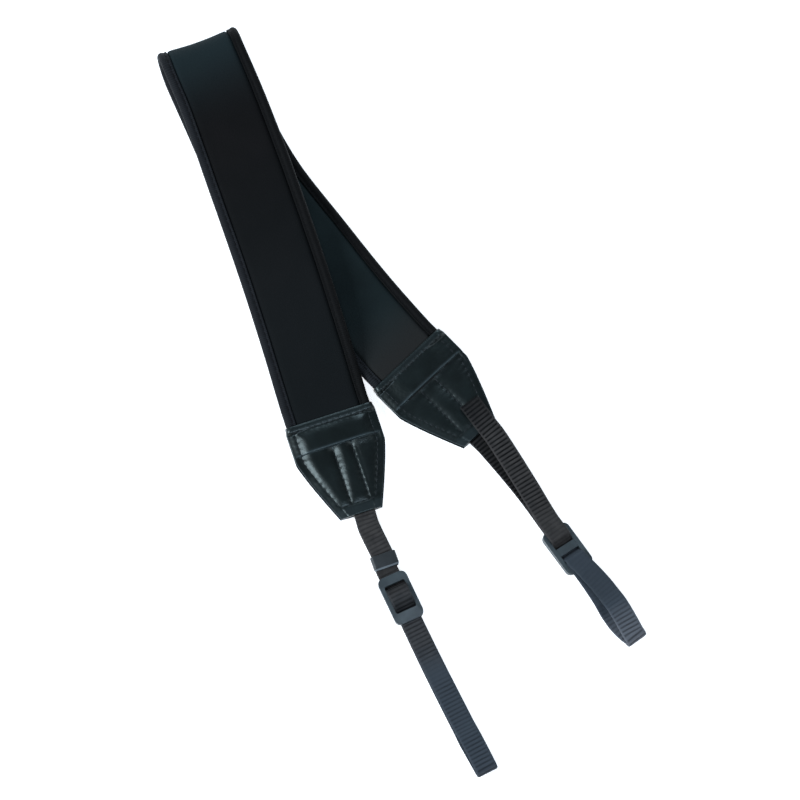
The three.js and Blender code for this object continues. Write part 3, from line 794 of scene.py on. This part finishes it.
def leather_height(across, from_hem, puff):
    """Height of the leather's outside above the strap's middle. puff: how full its cells are at the step
    and at the mouth, from 0 to 1."""
    L = LEATHER
    to_edge = leather_reach(from_hem) - np.abs(across)
    below = np.clip(below_step(from_hem), 0, 1)
    over_band = smoothstep((L.band_reach - np.abs(across)) / L.band_blend)
    over_band = over_band * smoothstep((L.band_end - from_hem) / L.band_end_blend)
    sewn = lerp(lerp(L.sewn, L.mouth_sewn, below), L.over_band, over_band)
    reach = lerp(L.dome, L.mouth_dome, below)
    dome = 1 - (1 - np.clip(to_nearest_seam(across, from_hem) / reach, 0, 1)) ** 2
    right_cell = smoothstep((across - L.sewn_across - L.web_seam) / 2) * smoothstep(below * 8)
    dome = dome * lerp(*puff, below) * (1 - L.right_cell * right_cell)
    cells = lerp(sewn, np.maximum(leather_crest(from_hem), sewn), dome)
    margin = lerp(L.rim, sewn, smoothstep(to_edge / L.edge_seam))
    height = lerp(margin, cells, past(to_edge, L.edge_seam, L.edge_blend))
    hem_share = np.clip(from_hem / L.hem_seam, 0, 1)
    hem_top = L.hem_strip + L.hem_puff * np.sin(math.pi * hem_share)
    hem_strip = lerp(L.rim, hem_top, quarter_round(to_edge / L.hem_round))
    height = lerp(hem_strip, height, past(from_hem, L.hem_seam, L.hem_blend))
    step = past(from_hem, L.cross_seam, L.step_blend) * (1 - smoothstep(below * L.step_fades))
    height = height - L.step * step * smoothstep((to_edge - 0.8) / 2)
    mouth_strip = past(from_hem, L.mouth_seam, L.mouth_blend)
    height = lerp(height, np.minimum(height, L.mouth_strip), mouth_strip)
    cut_edge = np.minimum.reduce([to_edge, from_hem, LEATHER_LENGTH - from_hem])
    return height - L.edge_drop * (1 - quarter_round(cut_edge / L.edge_round))


print("height of the leather", leather_height(np.array([9.0]), np.array([9.0]), (1, 1)).round(2), "mm")

# %% [markdown]
# ## The leather ends
#
# The upper cut of each end is made 0.5 mm smaller along its closing sides than the one beneath, so both cut
# edges show, as on the real one. A cut is a flat grid whose columns spread to the leather's reach, closed
# to a slab: its outer side takes the heights, and its inner side stays one wall below. Stitches pull small
# puckers into the leather on both sides of a seam. The back end is pressed flatter than the front one, most
# of all at the step, and the under cuts are flat where they rest.

# %% One side of a leather cut
PUCKER = Measures(pitch=2.8, depth=0.09, reach=0.9)
LEDGE = Measures(deep=0.5, starts=12, blend=8)
PUFF = {"front": (0.85, 0.85), "back": (0.1, 0.85)}
LEATHER_DENTS = [
    # size, depth, seed
    (7, 0.14, 3),
    (2.6, 0.03, 5),
]
FIRM_EDGE = 3
# how much painted highlight, with its polish, the lip, hem, cut edges and mouth take
PAINTED_HIGHLIGHT_AND_POLISH = Measures(lip=0.9, hem=0.1, cut_edge=0.6, mouth=0.25)


def leather_side(verts, end, resting):
    """Spreads one side of a cut to the leather's reach and gives it the height of the outside."""
    flat = flat_places(verts)
    from_hem = flat[:, 1]
    reach = leather_reach(from_hem)
    if not resting:
        reach = reach - LEDGE.deep * smoothstep((from_hem - LEDGE.starts) / LEDGE.blend)
    flat[:, 0] *= reach
    across = flat[:, 0]
    to_edge = reach - np.abs(across)
    crosswise = np.abs(from_hem - LEATHER.hem_seam) < 2
    run = 2 * math.pi * np.where(crosswise, across, from_hem) / PUCKER.pitch
    puckers = PUCKER.depth * np.exp(-to_nearest_seam(across, from_hem) / PUCKER.reach) * np.sin(run)
    dents = sum(uneven(flat, *dent) for dent in LEATHER_DENTS)
    height = leather_height(across, from_hem, PUFF[end])
    height = height + (puckers + dents) * smoothstep(to_edge / FIRM_EDGE)
    flat[:, 2] = np.minimum(height, LEATHER.rest_at) if resting else height
    return flat, to_edge


# share of painted highlight and polish along the lip of the step, the hem, the cut edges and the mouth
def painted_highlight_share(from_hem, to_edge):
    lip = hill(from_hem - LEATHER.cross_seam + 0.3, 0.5) * smoothstep(to_edge / FIRM_EDGE)
    hem = smoothstep((LEATHER.hem_seam - 0.4 - from_hem) / 0.8)
    cut_edge = 1 - smoothstep(to_edge / LEATHER.edge_round)
    mouth = past(from_hem, LEATHER.mouth_seam, LEATHER.mouth_blend)
    wear = PAINTED_HIGHLIGHT_AND_POLISH.lip * lip + PAINTED_HIGHLIGHT_AND_POLISH.hem * hem + PAINTED_HIGHLIGHT_AND_POLISH.cut_edge * cut_edge + PAINTED_HIGHLIGHT_AND_POLISH.mouth * mouth
    return np.clip(wear, 0, 1)


# %% Stitches of the leather
SEAM_ENDS = Measures(hem=18.6, mouth=8.2, edge=(4.6, 0.6), web=(1.2, 0.8))
PULLED_IN = 0.3


def seam_lines():
    L = LEATHER
    share = np.linspace(0, 1, 80)
    edge_run = lerp(SEAM_ENDS.edge[0], L.mouth_seam - SEAM_ENDS.edge[1], share)
    web_run = lerp(L.cross_seam + SEAM_ENDS.web[0], L.mouth_seam - SEAM_ENDS.web[1], share)
    for side in SIDES.values():
        yield side * (leather_reach(edge_run) - L.edge_seam), edge_run
        yield 0 * share + L.sewn_across + side * L.web_seam, web_run
    for reach, from_hem in ((SEAM_ENDS.hem, L.hem_seam), (SEAM_ENDS.mouth, L.mouth_seam)):
        yield lerp(-reach, reach, share), 0 * share + from_hem


def sew_leather(end, down):
    bm = bmesh.new()
    count = 0
    for across, from_hem in seam_lines():
        for face_side in (1, -1):
            height = leather_height(across, from_hem, PUFF[end])
            if face_side == down:
                height = np.minimum(height, LEATHER.rest_at - PULLED_IN)
            up = face_side * (height + STITCH.above_leather)
            count += sew(bm, np.stack([across, from_hem, up], axis=1), PUCKER.pitch)
    lay(bm, ends[end])
    finish_piece(bm, "leather_stitches_" + end, [grey_thread])
    print(count, "stitches in the leather")


# %% The leather ends
DOWN_FACE = {"front": -1, "back": 1}
INSIDE = Measures(gap=0.04, edge=1.5, blend=2)

leather_columns = np.sin(spaced(-1, 1, 2 / 110) * 1.35) / math.sin(1.35)
step_rows = spaced(13.9, 14.9, 0.1)
leather_rows = np.concatenate(
    [spaced(0, 0.8, 0.1), spaced(1.2, 13.5, 0.42), step_rows, spaced(15.3, 47.2, 0.42), spaced(47.4, 48, 0.1)]
)
for end, down in DOWN_FACE.items():
    for face_side in (1, -1):
        resting = face_side == down
        bm = flat_cut(leather_columns, leather_rows, "painted_highlight_and_polish")
        outer, inner = close_to_slab(bm)[::face_side]
        for verts in (outer, inner):
            flat, to_edge = leather_side(verts, end, resting)
            if verts is outer:
                write_attribute(bm, "painted_highlight_and_polish", verts, painted_highlight_share(flat[:, 1], to_edge))
            else:
                inside = smoothstep((to_edge - INSIDE.edge) / INSIDE.blend)
                wall = lerp(flat[:, 2] - INSIDE.gap, LEATHER.wall, inside)
                flat[:, 2] = np.maximum(flat[:, 2] - wall, INSIDE.gap)
            flat[:, 2] *= face_side
            move(verts, flat)
        lay(bm, ends[end])
        name = ("leather_under_" if resting else "leather_upper_") + end
        piece = finish_piece(bm, name, [leather], ["leather_end_" + end])
    sew_leather(end, down)

# %% [markdown]
# ## Finish of the webbing
#
# The straps are woven polyester, dark grey, with a rib across every 1.95 mm and a plain selvedge each side.
# The ribs are in the mesh, and the mesh says in one attribute how deep a point lies between them, where
# the yarn is darkened by painted shade, and in another where light has bleached it to a bluish grey, most
# of all at the loops, where a painted sheen is added. The yarns of a rib run lengthwise and are about 0.5 mm
# wide.

# %% Ribbed webbing yarn
RIB = 1.95
YARN = 0.5 * MM
DYE_PATCH = 4 * MM

polyester, tree, shader = new_finish("woven_polyester_webbing")
cut = add(tree, "UVMap", "UV", uv_map="cut")
lengthwise = {"Vector": cut, "Scale": WAVE_REPEAT / YARN, "Distortion": 0.6}
yarns = add(tree, "TexWave", "Fac", lengthwise, bands_direction="X")
dye = add(tree, "TexNoise", "Fac", {"Vector": cut, "Scale": 1 / DYE_PATCH, "Detail": 5.0})
tone = add(tree, "ValToRGB", "Color", {"Fac": dye}, stops=[(0.3, "#2d2b2a"), (0.75, "#3d3a38")])
# bleached paler towards the loops, with a painted sheen there
bleach_and_painted_sheen = add(tree, "Attribute", "Fac", attribute_name="bleach_and_painted_sheen")
pale = add(tree, "ValToRGB", "Color", {"Fac": bleach_and_painted_sheen}, stops=[(0.6, "#333a41"), (1, "#606267")])
share = add(tree, "Math", "Value", {0: bleach_and_painted_sheen, 1: 1.6}, operation="MULTIPLY", use_clamp=True)
bleached_and_lit = add(tree, "MixRGB", "Color", {"Fac": share, "Color1": tone, "Color2": pale})
# painted shade: darker yarn in the rib grooves, under the tail, in keeper and slots, and at the tail's end
painted_shade = add(tree, "Attribute", "Fac", attribute_name="painted_shade")
shade = add(tree, "MixRGB", "Color", {"Fac": painted_shade, "Color1": bleached_and_lit, "Color2": linear("#030303")})
relief = add(tree, "Bump", "Normal", {"Height": yarns, "Strength": 0.5, "Distance": 0.08 * MM})
yarn = {"Roughness": 0.65, "IOR": 1.57, "Specular IOR Level": 0.12}
hairs = {"Sheen Weight": 0.02, "Sheen Roughness": 0.35, "Sheen Tint": linear("#dfe8f0")}
feed(shader, {"Base Color": shade, "Normal": relief, **yarn, **hairs})

# %% [markdown]
# ## The way of the webbing
#
# Each strap starts inside its leather end, passes behind the slider's outer bars and over its middle bar,
# runs on to the tip, turns round in an eye, and comes back under itself by the same way to its tail. The
# measures are those of the CAD source, but for a closer opening of the slider, the slope of its end bar, and
# the tail, which lies on the leather as it is pressed here. The way is sampled in steps of 0.33 mm.

# %% Measures of webbing and slider
WEB = Measures(
    width=10, thick=1.2, layer=0.8, gap=0.3, step=0.33, sewn_from=27,
    eye=3.1, eye_length=13, eye_opens=9, past_eye=9, out_bow=2.3,
    bar_play=0.4, outer_lift=0.7, foot=0.9, tail_play=0.3, tail_rise=1.25, drift_curve=1.5,
)
SLIDER = Measures(
    width=14, opening=10.1, top_bar=4.2, slot=5, middle_bar=3.8, end_bar=5, overlap=0.8,
    back=0.5, front=3.7, bar_back=1.65, middle_back=0.8, middle_front=2.3,
    corner=2.8, hole_corner=0.9, slope=0.26, edge=0.42,
)
TAILS = {
    # tail_end is measured from the hem, the others across the strap
    "front": Measures(tail_end=53, drift=1.3, out=0.3, back=-0.3, over_leather=False),
    "back": Measures(tail_end=34.5, drift=-6.2, out=1.5, back=-2.3, over_leather=True),
}
print("opening of the slider", SLIDER.opening, "mm for webbing of", WEB.width, "mm")


# %% The way of the webbing
def from_hem_to(end, place):
    return abs(distance_to(f"{end}_{place}") - HEM[end])


def lift_over_bar(from_slider, wider):
    level = SLIDER.middle_bar / 2 + WEB.bar_play + wider
    ramp = SLIDER.slot - WEB.bar_play - WEB.foot
    rise = SLIDER.middle_front + WEB.gap + WEB.layer + WEB.thick / 2
    return rise * smoothstep(1 - (np.abs(from_slider) - level) / ramp)


def top_of_leather(end):
    """The highest point of the leather that a loose tail lies on."""
    tail = TAILS[end]
    across = spaced(tail.drift - WEB.width / 2, tail.drift + WEB.width / 2, 0.5)
    from_hem = spaced(tail.tail_end, LEATHER_LENGTH, 0.5)
    return leather_height(*np.meshgrid(across, from_hem), PUFF[end]).max()


def webbing_way(end):
    tail = TAILS[end]
    slider = from_hem_to(end, "slider")
    eye = from_hem_to(end, "eye") + WEB.past_eye - WEB.eye - WEB.thick / 2
    opens = eye - WEB.eye_length - WEB.eye_opens
    near = slider - SLIDER.slot - SLIDER.middle_bar - SLIDER.top_bar
    after_bar = slider + SLIDER.slot + SLIDER.middle_bar / 2

    def layer(at):
        return lerp(WEB.layer, WEB.eye, smoothstep((at - opens) / WEB.eye_opens))

    def parted(at):
        return smoothstep((at - LEATHER_LENGTH) / (near - LEATHER_LENGTH))

    def bow(start, at, late):
        return np.sin(math.pi * np.clip((at - start) / (eye - start), 0, 1) ** late)

    at = spaced(WEB.sewn_from, eye, WEB.step)
    across = LEATHER.sewn_across * (1 - parted(at))
    across = across + tail.out * bow(after_bar + SLIDER.end_bar, at, WEB.out_bow)
    up = layer(at) * parted(at) + lift_over_bar(at - slider, WEB.outer_lift)
    out = np.stack([across, at, up], axis=1)

    angle = math.pi * (0.5 - spaced(0, 1, 1 / 30)[1:-1])
    turn = np.stack([0 * angle, eye + WEB.eye * np.cos(angle), WEB.eye * np.sin(angle)], axis=1)

    at = spaced(tail.tail_end, eye, WEB.step)[::-1]
    left = np.clip((near - at) / (near - tail.tail_end), 0, 1)
    on_top = top_of_leather(end) + WEB.thick / 2 + WEB.tail_play
    apart = layer(at) + WEB.layer * (1 - parted(at))
    if tail.over_leather:
        apart = lerp(layer(at), on_top, smoothstep(left * WEB.tail_rise))
    up = lift_over_bar(at - slider, 0) - apart
    across = tail.drift * left ** WEB.drift_curve + tail.back * bow(after_bar, at, 1)
    back = np.stack([across, at, up], axis=1)
    return np.vstack([out, turn, back])


webbing_strips = {}
webbing_from_hem = {}
for end in ends:
    way = webbing_way(end)
    points = ends[end].place(way)
    webbing_strips[end] = Strip(points, ends[end].read(ends[end].sides, way[:, 1]))
    webbing_from_hem[end] = way[:, 1]
    print(end, "webbing is", round(webbing_strips[end].at[-1], 1), "mm long")

# %% [markdown]
# ## The webbing
#
# The strap is cut flat with eight rows of points to each rib, closed to a slab and pressed into ribs on
# both sides, with a narrow groove between two ribs. The ribs fade into the selvedge, whose edges are
# rounded, and they differ a little from one to the next, as woven ribs do. Three tables say how deep the
# ribs still are, since use has worn some stretches smooth, how bleached the yarn is, with a painted sheen
# at the loops, and how much painted shade it takes in keeper and slider. The stretch that the tail covers
# takes a painted shadow, and the cut end of the tail is melted thin and takes painted shade.

# %% Wear and painted shade of the webbing
GROOVE = Measures(depth=0.45, share=0.52, steep=2.0, slant=0.02)
SELVEDGE = Measures(starts=4.15, blend=0.35, low=0.07, round_from=4.3, round=0.72, edge=0.22)
UNEVEN_RIBS = (9, 0.5, 11)  # size, depth, seed
RIBS = {
    # from the hem, how deep the ribs are there
    "front": [(72, 0.45), (76, 0.05), (80, 0.4), (120, 0.5), (125, 0.1), (132, 0.1), (138, 0.4)],
    "back": [(30, 0.6), (55, 1), (84, 1), (102, 0.35), (116, 0.08), (145, 0.08), (155, 0.45)],
}
BLEACH_AND_PAINTED_SHEEN = {
    # from the hem, how bleached the yarn is there, with a painted sheen at the loops
    "front": [(85, 0), (95, 0.18), (115, 0.15), (130, 0.55), (150, 0.58), (178, 0.62)],
    "back": [(112, 0), (120, 0.56), (146, 0.56), (157, 0.8), (168, 0.95)],
}
SLOT_SHADE = {
    # from the hem, how much painted shade the yarn takes in the keeper and in the slots of the slider
    "front": [(72, 0), (75, 0.15), (88, 0.4), (89.6, 0.1), (92.2, 0.1), (94, 0.4), (98, 0.4), (102, 0)],
    "back": [(0, 0)],
}
# painted shadow on the stretch that the tail lies over
TAIL_SHADOW_TO = {"front": 0, "back": 66}
TAIL_SHADOW = Measures(dark=0.6, blend=12)
# the tail's cut end: painted shade over its last stretch, and melted thin
CUT_END = Measures(dark=0.75, reach=22, melted=1.2, thin=0.55)


def by_table(table, from_hem):
    return np.interp(from_hem, *np.array(table).T)


print("bleached at the front eye", by_table(BLEACH_AND_PAINTED_SHEEN["front"], from_hem_to("front", "eye")))

# %% The webbing
web_half = np.array([0, 0.9, 1.8, 2.7, 3.5, 4.1, 4.35, 4.6, 4.82, 4.95, 5.0])
web_columns = np.concatenate([-web_half[:0:-1], web_half])
for end, strip in webbing_strips.items():
    length = strip.at[-1]
    web_rows = spaced(0, length, RIB / 8)
    bm = flat_cut(web_columns, web_rows, "painted_shade", "bleach_and_painted_sheen")
    upper, lower = close_to_slab(bm)
    write_cut_map(bm)
    for verts, sign in ((upper, 1), (lower, -1)):
        flat = flat_places(verts)
        across, along = flat[:, 0], flat[:, 1]
        phase = (along / RIB + GROOVE.slant * across + (0.5 if sign < 0 else 0)) % 1
        valley = smoothstep((1 - np.abs(phase - 0.5) / (GROOVE.share / 2)) * GROOVE.steep)
        plain = smoothstep((np.abs(across) - SELVEDGE.starts) / SELVEDGE.blend)
        there = np.interp(along, strip.at, webbing_from_hem[end])
        strength = by_table(RIBS[end], there) * (1 + uneven(flat, *UNEVEN_RIBS))
        valley = np.clip(valley * strength, 0, 1.1) * (1 - plain)
        # painted shadow under the tail and painted shade at the tail's cut end
        tail_shadow = TAIL_SHADOW.dark * smoothstep((TAIL_SHADOW_TO[end] - along) / TAIL_SHADOW.blend)
        end_shade = CUT_END.dark * smoothstep(1 - (length - along) / CUT_END.reach)
        past = ((np.abs(across) - SELVEDGE.round_from) / SELVEDGE.round).clip(0, 1)
        rounded = np.sqrt(1 - past**2)
        height = WEB.thick / 2 * lerp(SELVEDGE.edge, 1, rounded) - SELVEDGE.low * plain * rounded
        melted = smoothstep((length - along) / CUT_END.melted)
        flat[:, 2] = sign * (height - GROOVE.depth * valley) * lerp(CUT_END.thin, 1, melted)
        slot_shade = by_table(SLOT_SHADE[end], there)
        write_attribute(bm, "painted_shade", verts, np.clip(valley + tail_shadow + end_shade + slot_shade, 0, 1))
        write_attribute(bm, "bleach_and_painted_sheen", verts, by_table(BLEACH_AND_PAINTED_SHEEN[end], there))
        move(verts, flat)
    lay(bm, strip)
    webbing = finish_piece(bm, "ribbed_webbing_" + end, [polyester], ["webbing_" + end])

# %% [markdown]
# ## Finish of the plastic
#
# The sliders are moulded in grey acetal, the keeper in a darker one. The mould is spark-eroded, so it leaves
# a fine matt skin with a low gloss, and the melt leaves faint clouds where it flowed. The grit of the mould
# is about 0.1 mm and is drawn at 0.3 mm.

# %% Moulded plastic
GRIT = 0.3 * MM
FLOW = 6 * MM


def moulded(name, dark, light, mirror):
    finish, tree, shader = new_finish(name)
    place = add(tree, "TexCoord", "Object")
    grit = add(tree, "TexNoise", "Fac", {"Vector": place, "Scale": 1 / GRIT, "Detail": 3.0})
    flow = add(tree, "TexNoise", "Fac", {"Vector": place, "Scale": 1 / FLOW, "Detail": 2.0})
    tone = add(tree, "ValToRGB", "Color", {"Fac": flow}, stops=[(0.35, dark), (0.7, light)])
    gloss = add(tree, "MapRange", "Result", {"Value": grit, "To Min": 0.36, "To Max": 0.5})
    relief = add(tree, "Bump", "Normal", {"Height": grit, "Strength": 0.25, "Distance": 0.03 * MM})
    skin = {"Base Color": tone, "Roughness": gloss, "Normal": relief}
    feed(shader, {**skin, "IOR": 1.48, "Specular IOR Level": mirror})
    return finish


slider_plastic = moulded("spark_eroded_acetal", "#30373a", "#3c4447", 0.5)
keeper_plastic = moulded("spark_eroded_acetal_dark", "#222526", "#2b2e30", 0.4)
# paler plastic for the keeper's lower edge: a painted highlight
painted_highlight_plastic = moulded("acetal_edge_painted_highlight", "#5b6266", "#666d71", 0.4)

# %% [markdown]
# ## Sliders and keeper
#
# A slider is a flat frame with a bar across its middle. Its outline and its opening are rectangles with
# their corners bevelled round, bridged to a flat ring and extruded. The two outer bars stay clear of the
# webbing, so only the rails at the sides are extruded further back. The middle bar is a beam set into the
# rails, and the bar at the tip slopes down for the thumb. The keeper is a flat loop made in the same way,
# with a slanted lower edge in a paler plastic, a painted highlight. A Bevel modifier rounds all edges as a
# mould does.

# %% Shapes of slider and keeper
ROUND_STEPS = 6


def rounded_outline(bm, half_x, half_y, centre_y, corner):
    size = Matrix.Translation((0, centre_y, 0)) @ Matrix.Diagonal((half_x, half_y, 1, 1))
    corners = bmesh.ops.create_grid(bm, x_segments=1, y_segments=1, size=1, matrix=size)["verts"]
    round_off = {"affect": "VERTICES", "segments": ROUND_STEPS, "profile": 0.5, "material": -1}
    bmesh.ops.bevel(bm, geom=corners, offset=corner, offset_type="OFFSET", **round_off)


def ring_between(bm, outline, opening, deep):
    rounded_outline(bm, *outline)
    rounded_outline(bm, *opening)
    bmesh.ops.delete(bm, geom=bm.faces[:], context="FACES_ONLY")
    extrude(bm, bmesh.ops.bridge_loops(bm, edges=bm.edges[:])["faces"], deep)


def set_on(bm, end, from_hem):
    """Puts a rigid piece on an end of the strap: x across, y towards the hem, z to the strap's face."""
    there = np.array([from_hem])
    strip = ends[end]
    side, face = (Vector(strip.read(v, there)[0]).normalized() for v in (strip.sides, strip.faces))
    axes = Matrix((side, face.cross(side), face)).transposed().to_4x4()
    spot = Matrix.Translation(Vector(strip.read(strip.points, there)[0]) * MM)
    bmesh.ops.recalc_face_normals(bm, faces=bm.faces[:])
    bmesh.ops.transform(bm, matrix=spot @ axes @ Matrix.Scale(MM, 4), verts=bm.verts[:])


def round_edges(piece, width):
    rounding = piece.modifiers.new("mould_radius", "BEVEL")
    rounding.width = width * MM
    rounding.segments = 3
    rounding.limit_method = "ANGLE"
    rounding.angle_limit = math.radians(20)
    rounding.harden_normals = True


# %% Sliders
S = SLIDER
for end in ends:
    bm = bmesh.new()
    long = S.top_bar + 2 * S.slot + S.middle_bar + S.end_bar
    outline = (S.width / 2, long / 2, (S.top_bar - S.end_bar) / 2, S.corner)
    opening = (S.opening / 2, S.slot + S.middle_bar / 2, 0, S.hole_corner)
    ring_between(bm, outline, opening, S.front - S.bar_back)
    bmesh.ops.translate(bm, verts=bm.verts[:], vec=(0, 0, S.bar_back))
    for side in (1, -1):
        everything = bm.verts[:] + bm.edges[:] + bm.faces[:]
        cut_at = (side * S.opening / 2, 0, 0)
        bmesh.ops.bisect_plane(bm, geom=everything, dist=1e-5, plane_co=cut_at, plane_no=(1, 0, 0))
    rails = [
        f
        for f in bm.faces
        if all(abs(v.co.z - S.bar_back) < 1e-4 for v in f.verts)
        and abs(f.calc_center_median().x) > S.opening / 2
    ]
    extrude(bm, rails, S.back - S.bar_back)
    beam = (S.opening + 2 * S.overlap, S.middle_bar, S.middle_front - S.middle_back, 1)
    height = (S.middle_front + S.middle_back) / 2
    bmesh.ops.create_cube(bm, size=1, matrix=Matrix.Translation((0, 0, height)) @ Matrix.Diagonal(beam))
    for v in bm.verts:
        if v.co.z > S.front - 0.01:
            v.co.z -= S.slope * max(0, -v.co.y - S.slot - S.middle_bar / 2)
    set_on(bm, end, from_hem_to(end, "slider"))
    slider = finish_piece(bm, "moulded_slider_" + end, [slider_plastic], ["slider_" + end])
    round_edges(slider, S.edge)

# %% Keeper
K = Measures(long=6.8, width=11.8, height=5.6, wall=0.5, corner=1.2, edge=0.16, chamfer=0.9)
bm = bmesh.new()
outline = (K.width / 2, K.height / 2, 0, K.corner)
opening = (K.width / 2 - K.wall, K.height / 2 - K.wall, 0, K.corner / 2)
ring_between(bm, outline, opening, K.long)
bmesh.ops.translate(bm, verts=bm.verts[:], vec=(0, 0, -K.long / 2))
bmesh.ops.rotate(bm, verts=bm.verts[:], cent=(0, 0, 0), matrix=Matrix.Rotation(math.pi / 2, 3, "X"))
for v in bm.verts:
    on_outline = abs(v.co.x) > opening[0] + 0.01 or abs(v.co.z) > opening[1] + 0.01
    if on_outline and v.co.y < 0:
        v.co.y += K.chamfer
# the slanted lower edge takes the paler plastic, a painted highlight
for face in bm.faces:
    face.material_index = int(all(v.co.y < 0 for v in face.verts))
set_on(bm, "front", from_hem_to("front", "keeper"))
finishes = [keeper_plastic, painted_highlight_plastic]
keeper = finish_piece(bm, "moulded_keeper_front", finishes, ["keeper_front"])
round_edges(keeper, K.edge)
